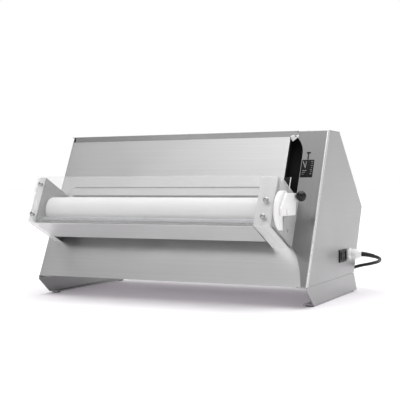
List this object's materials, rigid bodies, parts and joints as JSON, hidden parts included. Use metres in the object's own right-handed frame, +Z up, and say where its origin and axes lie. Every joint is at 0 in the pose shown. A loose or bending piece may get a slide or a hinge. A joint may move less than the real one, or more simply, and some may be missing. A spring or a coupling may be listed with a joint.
{
  "type": "dough sheeter",
  "caption": "Countertop dough sheeter with a sloping stainless front, a clear roller guard, white rollers, a side thickness lever, a drive motor and a mains lead.",
  "frame": {"origin": "middle of the footprint without the mains lead, on the surface the machine stands on", "axes": "+X along the rollers towards the lever side, +Y from the guard to the back, +Z up"},
  "size_m": [0.761, 0.5917, 0.394],
  "materials": {
    "stainless_sheet": "brushed stainless steel sheet",
    "top_cover_sheet": "brushed stainless steel sheet seen darker",
    "machined_steel": "turned and ground steel",
    "screw_steel": "stainless fasteners",
    "clear_sheet": "clear polished acrylic",
    "roller_plastic": "turned white acetal",
    "white_plastic": "moulded white plastic",
    "black_plastic": "moulded black plastic",
    "knob_plastic": "polished black thermoset",
    "cord_jacket": "black flexible PVC",
    "pad_rubber": "black rubber",
    "motor_enamel": "grey enamel on cast metal"
  },
  "bodies": {
    "root": {"left_side_panel": "stainless_sheet", "right_side_panel": "stainless_sheet", "front_panel": "stainless_sheet", "feed_slide": "stainless_sheet", "feed_lip": "stainless_sheet", "top_cover": "top_cover_sheet", "rear_hood": "stainless_sheet", "rear_cover": "stainless_sheet", "bottom_plate": "stainless_sheet", "left_foot": "stainless_sheet", "right_foot": "stainless_sheet", "rubber_pads": "pad_rubber", "foot_bolts": "screw_steel", "top_cover_screws": "screw_steel", "rear_cover_screws": "screw_steel", "recess_liner": "black_plastic", "scale_plate": "black_plastic", "left_cheek": "clear_sheet", "left_end_plate": "stainless_sheet", "right_end_block": "stainless_sheet", "right_cheek": "clear_sheet", "guard_front": "clear_sheet", "guard_screws": "screw_steel", "cheek_screw": "screw_steel", "under_tray": "stainless_sheet", "left_rear_bush": "machined_steel", "right_rear_bush": "machined_steel", "rear_scraper": "white_plastic", "slider_springs": "machined_steel", "motor_housing": "motor_enamel", "motor_fan_cover": "black_plastic", "gearbox": "motor_enamel", "motor_bracket": "stainless_sheet", "drive_chain": "machined_steel", "capacitor": "black_plastic", "terminal_box": "white_plastic", "switch_housing": "black_plastic", "cable_gland": "white_plastic", "power_cord": "cord_jacket", "cord_coil": "cord_jacket", "plug": "cord_jacket"},
    "rear_drive": {"rear_roller": "roller_plastic", "rear_shaft": "machined_steel", "rear_gear": "white_plastic", "rear_sprocket": "machined_steel"},
    "gap_carriage": {"left_slider": "white_plastic", "right_slider": "white_plastic", "tie_rod": "machined_steel", "front_scraper": "white_plastic"},
    "front_drive": {"front_roller": "roller_plastic", "front_shaft": "machined_steel", "front_gear": "white_plastic"},
    "lever": {"lever_shaft": "machined_steel", "lever_hub": "white_plastic", "lever_arm": "white_plastic", "ball_knob": "knob_plastic"},
    "motor_drive": {"motor_shaft": "machined_steel", "motor_sprocket": "machined_steel"},
    "rocker": {"switch_rocker": "black_plastic"}
  },
  "joints": [
    {"name": "roller_spin", "type": "hinge", "parent": "root", "child": "rear_drive", "pos_m": [0, -0.12996, 0.20864], "axis": [1, 0, 0], "continuous": true},
    {"name": "lever_turn", "type": "hinge", "parent": "root", "child": "lever", "pos_m": [0.308, -0.21727, 0.20864], "axis": [1, 0, 0], "range_deg": [0, 70]},
    {"name": "gap_slide", "type": "slide", "parent": "root", "child": "gap_carriage", "axis": [0, -1, 0], "range_m": [0, 0.004]},
    {"name": "front_spin", "type": "hinge", "parent": "gap_carriage", "child": "front_drive", "pos_m": [0, -0.19096, 0.20864], "axis": [1, 0, 0], "continuous": true},
    {"name": "motor_spin", "type": "hinge", "parent": "root", "child": "motor_drive", "pos_m": [0.26, 0.05, 0.14], "axis": [1, 0, 0], "continuous": true},
    {"name": "switch_rock", "type": "hinge", "parent": "root", "child": "rocker", "pos_m": [0.342, 0.087, 0.097], "axis": [0, 0, 1], "range_deg": [0, 14]}
  ],
  "couplings": [
    {"joint": "front_spin", "follows": "roller_spin", "ratio": -1},
    {"joint": "motor_spin", "follows": "roller_spin", "ratio": 1.25},
    {"joint": "lever_turn", "follows": "gap_slide", "rad_per_m": 305.4}
  ]
}
